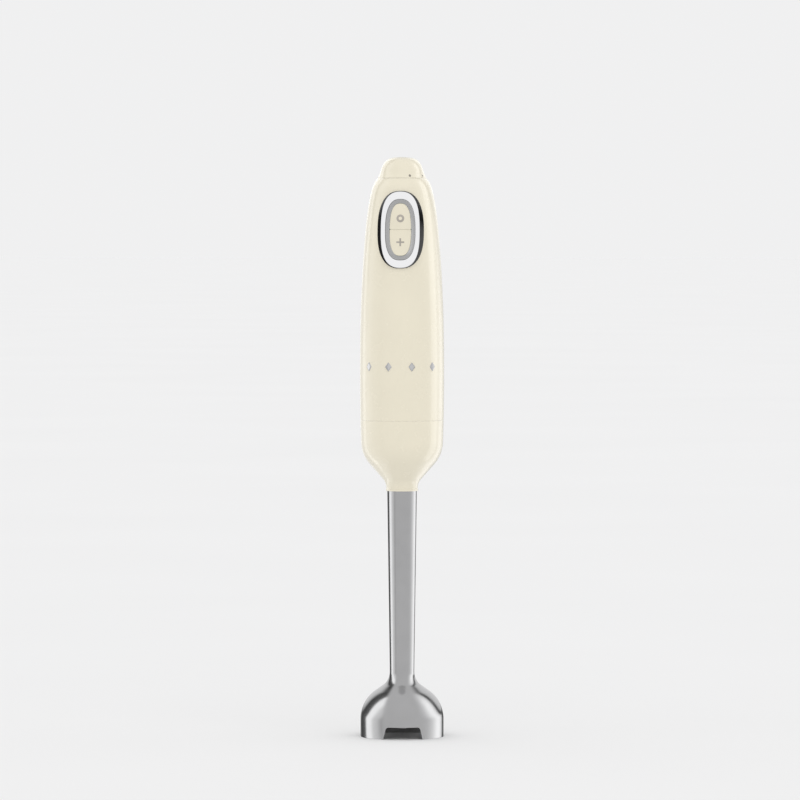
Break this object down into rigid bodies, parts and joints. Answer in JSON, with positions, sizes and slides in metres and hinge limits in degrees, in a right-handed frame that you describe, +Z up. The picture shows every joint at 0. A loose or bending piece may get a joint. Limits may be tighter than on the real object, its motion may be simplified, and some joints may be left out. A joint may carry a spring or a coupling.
{
  "type": "immersion blender",
  "caption": "Hand-held stick blender with a tapered round motor handle, push buttons, a top speed dial, and a detachable steel foot ending in a notched bell over a blade.",
  "frame": {"origin": "centre of the bell's rim plane, on the drive axis", "axes": "+Z up the drive axis towards the speed dial, -Y the way the buttons face, +X to the right as the buttons are looked at"},
  "size_m": [0.0582, 0.0582, 0.4],
  "materials": {
    "cream_housing": "glossy cream moulding",
    "cream_sleeve": "glossy cream moulding",
    "cream_dial": "glossy cream moulding",
    "cream_button": "satin cream moulding",
    "inner_plastic": "matt moulding",
    "black_plastic": "matt glass-filled nylon",
    "chrome_trim": "bright chrome plating",
    "grey_surround": "satin grey",
    "grey_rubber": "matt rubber",
    "icon_grey": "matt inlay",
    "dark_mark": "matt inlay",
    "board": "green laminate",
    "capacitor_yellow": "glossy case",
    "aluminium_fin": "satin extrusion",
    "galvanised_steel": "zinc plated",
    "screw_steel": "zinc plated",
    "spring_steel": "bright spring wire",
    "shaft_steel": "ground",
    "blade_steel": "ground stainless",
    "polished_steel": "polished stainless",
    "lamination_steel": "stacked laminations",
    "copper": "enamelled copper wire",
    "commutator_copper": "turned copper",
    "bronze": "sintered bronze",
    "brass": "drawn brass",
    "carbon": "matt graphite",
    "white_nylon": "natural nylon"
  },
  "bodies": {
    "motor_unit": {"housing_front": "cream_housing", "housing_rear": "cream_housing", "bayonet_ring": "inner_plastic", "button_bezel": "chrome_trim", "button_surround": "grey_surround", "button_seal": "grey_rubber", "badge_pips": "polished_steel", "control_board": "board", "micro_switches": "black_plastic", "suppression_capacitor": "capacitor_yellow", "choke_coil": "copper", "triac_heatsink": "aluminium_fin", "terminal_block": "inner_plastic", "potentiometer": "galvanised_steel", "potentiometer_bracket": "galvanised_steel", "cord_gland": "grey_rubber", "cord_clamp": "inner_plastic", "housing_screws": "screw_steel", "dial_seat": "inner_plastic", "stator_core": "lamination_steel", "field_coils": "copper", "lower_bracket": "black_plastic", "upper_bracket": "black_plastic", "motor_bushes": "bronze", "motor_isolators": "grey_rubber", "motor_screws": "screw_steel", "brush_holders": "brass", "carbon_brushes": "carbon", "brush_springs": "spring_steel"},
    "speed_dial": {"speed_dial": "cream_dial", "dial_marks": "dark_mark", "dial_clip": "spring_steel", "potentiometer_shaft": "black_plastic"},
    "power_button": {"power_button": "cream_button", "power_icon": "icon_grey", "power_plunger": "black_plastic"},
    "turbo_button": {"turbo_button": "cream_button", "turbo_icon": "icon_grey", "turbo_plunger": "black_plastic"},
    "rotor": {"motor_shaft": "shaft_steel", "armature_core": "lamination_steel", "armature_winding": "copper", "commutator": "commutator_copper", "motor_fan": "black_plastic", "motor_coupler": "white_nylon"},
    "lock_ring": {"lock_ring": "inner_plastic"},
    "foot": {"foot_sleeve": "cream_sleeve", "tube_holder": "inner_plastic", "holder_screws": "screw_steel", "shaft_tube": "polished_steel", "blade_guard": "polished_steel", "bearing_carrier": "inner_plastic", "foot_bushes": "bronze", "shaft_seal": "grey_rubber", "seal_retainer": "screw_steel"},
    "drive_shaft": {"drive_shaft": "shaft_steel", "shaft_clip": "spring_steel", "foot_coupler": "white_nylon", "blade": "blade_steel", "blade_nut": "screw_steel"}
  },
  "joints": [
    {"name": "speed_dial_turn", "type": "hinge", "parent": "motor_unit", "child": "speed_dial", "pos_m": [0, 0, 0.386], "axis": [0, 0, 1], "range_deg": [-168, 0]},
    {"name": "power_button_press", "type": "slide", "parent": "motor_unit", "child": "power_button", "axis": [0, 1, 0], "range_m": [0, 0.0015], "stiffness_N_per_m": 1600, "springref_m": -0.0008},
    {"name": "turbo_button_press", "type": "slide", "parent": "motor_unit", "child": "turbo_button", "axis": [0, 1, 0], "range_m": [0, 0.0015], "stiffness_N_per_m": 1600, "springref_m": -0.0008},
    {"name": "rotor_spin", "type": "hinge", "parent": "motor_unit", "child": "rotor", "pos_m": [0, 0, 0.275], "axis": [0, 0, 1], "continuous": true},
    {"name": "foot_twist", "type": "hinge", "parent": "motor_unit", "child": "lock_ring", "pos_m": [0, 0, 0.2345], "axis": [0, 0, 1], "range_deg": [0, 25]},
    {"name": "foot_pull", "type": "slide", "parent": "lock_ring", "child": "foot", "axis": [0, 0, -1], "range_m": [0, 0.06]},
    {"name": "drive_shaft_spin", "type": "hinge", "parent": "foot", "child": "drive_shaft", "pos_m": [0, 0, 0.12], "axis": [0, 0, 1], "continuous": true}
  ],
  "couplings": [
    {"joint": "drive_shaft_spin", "follows": "rotor_spin", "ratio": 1}
  ]
}
